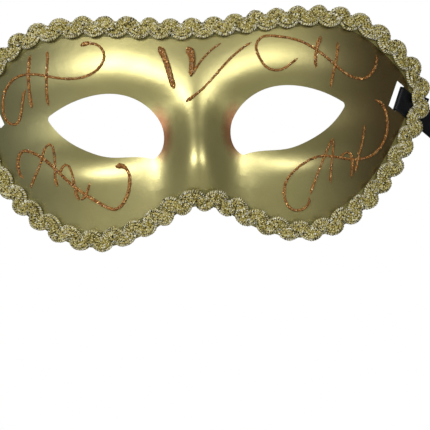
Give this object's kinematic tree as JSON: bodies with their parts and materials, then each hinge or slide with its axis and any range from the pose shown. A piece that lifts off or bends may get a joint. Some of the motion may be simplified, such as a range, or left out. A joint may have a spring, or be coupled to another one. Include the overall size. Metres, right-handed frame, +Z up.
{
  "type": "half mask",
  "caption": "Gold half mask for the eyes and nose bridge, with a braided rim, drawn glitter strokes and two tie ribbons.",
  "frame": {"origin": "on the inner face where the mask rests on the bridge of the nose, level with the eyes", "axes": "+Z up as worn, -Y forward out of the mask's front, +X to the right as the viewer sees the front"},
  "size_m": [0.2221, 0.0556, 0.3587],
  "materials": {
    "gold_shell": "satin sprayed gold on thin formed plastic",
    "metallic_braid": "metallic wrapped gimp cord",
    "copper_glitter": "dried glitter glue",
    "black_satin": "black satin ribbon",
    "clear_glue": "dried craft glue"
  },
  "bodies": {
    "root": {"mask_shell": "gold_shell", "gimp_braid": "metallic_braid", "braid_glue": "clear_glue", "ribbon_left_loop": "black_satin", "ribbon_left_glue": "clear_glue", "ribbon_right_loop": "black_satin", "ribbon_right_glue": "clear_glue", "glitter_left_brow_curl": "copper_glitter", "glitter_left_brow_bar_outer": "copper_glitter", "glitter_left_brow_bar_inner": "copper_glitter", "glitter_forehead_bar": "copper_glitter", "glitter_forehead_tick_down": "copper_glitter", "glitter_forehead_tick_up": "copper_glitter", "glitter_forehead_long_stroke": "copper_glitter", "glitter_right_brow_curl": "copper_glitter", "glitter_right_brow_bar_inner": "copper_glitter", "glitter_right_brow_bar_outer": "copper_glitter", "glitter_left_cheek_swirl": "copper_glitter", "glitter_left_cheek_arch_outer": "copper_glitter", "glitter_left_cheek_arch_inner": "copper_glitter", "glitter_left_cheek_tick": "copper_glitter", "glitter_right_cheek_swirl": "copper_glitter", "glitter_right_cheek_hook": "copper_glitter", "glitter_right_cheek_bar_inner": "copper_glitter", "glitter_right_cheek_peak": "copper_glitter", "glitter_right_cheek_bar_outer": "copper_glitter"},
    "ribbon_left": {"ribbon_left_tail": "black_satin"},
    "ribbon_right": {"ribbon_right_tail": "black_satin"}
  },
  "joints": [
    {"name": "ribbon_left_swing", "type": "hinge", "parent": "root", "child": "ribbon_left", "pos_m": [-0.0891, 0.04271, -0.0045], "axis": [1, 0, 0], "range_deg": [-60, 100]},
    {"name": "ribbon_right_swing", "type": "hinge", "parent": "root", "child": "ribbon_right", "pos_m": [0.0891, 0.04271, -0.0045], "axis": [1, 0, 0], "range_deg": [-60, 100]}
  ]
}
